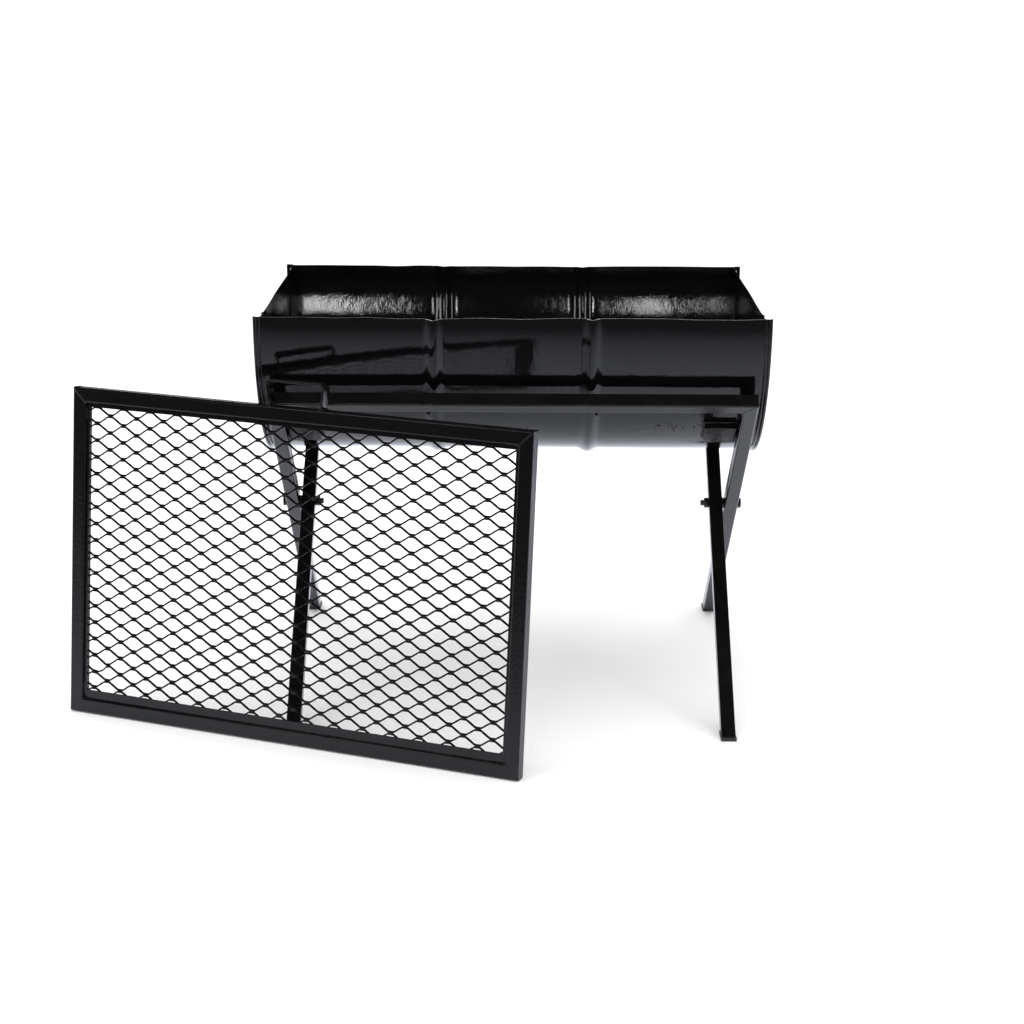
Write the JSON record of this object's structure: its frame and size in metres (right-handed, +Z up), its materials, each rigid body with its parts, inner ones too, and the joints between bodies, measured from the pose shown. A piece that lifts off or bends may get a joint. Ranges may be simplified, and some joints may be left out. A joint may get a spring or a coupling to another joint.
{
  "type": "folding camp grill",
  "caption": "Half-drum charcoal grill cradled in a folding X stand of square tube, with a loose expanded-metal cooking grid that has a strip handle.",
  "frame": {"origin": "on the floor, under the middle of the box around the stand, the drum and the standing grid", "axes": "+X along the drum, to the right as the user faces it; +Y away from the user, square to the drum; +Z up"},
  "size_m": [1.2291, 0.9556, 0.7229],
  "materials": {
    "drum_paint": "gloss black enamel over steel sheet",
    "stand_paint": "gloss black enamel over square tube",
    "grid_paint": "semi-gloss black enamel with brush marks",
    "mesh_paint": "semi-gloss black enamel on expanded steel",
    "fastener": "zinc bolts painted over in black",
    "foot_cap": "moulded black plastic"
  },
  "bodies": {
    "outer_frame": {"front_rail": "stand_paint", "outer_leg_left": "stand_paint", "outer_leg_right": "stand_paint", "outer_foot_cap_left": "foot_cap", "outer_foot_cap_right": "foot_cap", "pivot_bolts": "fastener", "pivot_nuts": "fastener", "pivot_washers": "fastener"},
    "inner_frame": {"rear_rail": "stand_paint", "inner_leg_left": "stand_paint", "inner_leg_right": "stand_paint", "inner_foot_cap_left": "foot_cap", "inner_foot_cap_right": "foot_cap"},
    "drum": {"drum_shell": "drum_paint", "end_disc_left": "drum_paint", "end_disc_right": "drum_paint", "seam_left": "drum_paint", "seam_right": "drum_paint", "block_left": "drum_paint", "block_right": "drum_paint"},
    "grid": {"grid_tube_top": "grid_paint", "grid_tube_bottom": "grid_paint", "grid_tube_left": "grid_paint", "grid_tube_right": "grid_paint", "mesh_strip_top": "mesh_paint", "mesh_strip_bottom": "mesh_paint", "mesh_strip_left": "mesh_paint", "mesh_strip_right": "mesh_paint", "grid_mesh": "mesh_paint", "grid_handle": "grid_paint"}
  },
  "joints": [
    {"name": "stand_fold", "type": "hinge", "parent": "outer_frame", "child": "inner_frame", "pos_m": [0.175, 0.09452, 0.325], "axis": [1, 0, 0], "range_deg": [0, 97]},
    {"name": "drum_lift", "type": "slide", "parent": "outer_frame", "child": "drum", "axis": [0, 0, 1], "range_m": [0, 0.96]},
    {"name": "grid_lift", "type": "slide", "parent": "outer_frame", "child": "grid", "axis": [-0.2626, -0.6566, 0.7071], "range_m": [0, 0.4]}
  ],
  "couplings": [
    {"joint": "drum_lift", "follows": "stand_fold", "m_per_rad": 0.56}
  ]
}
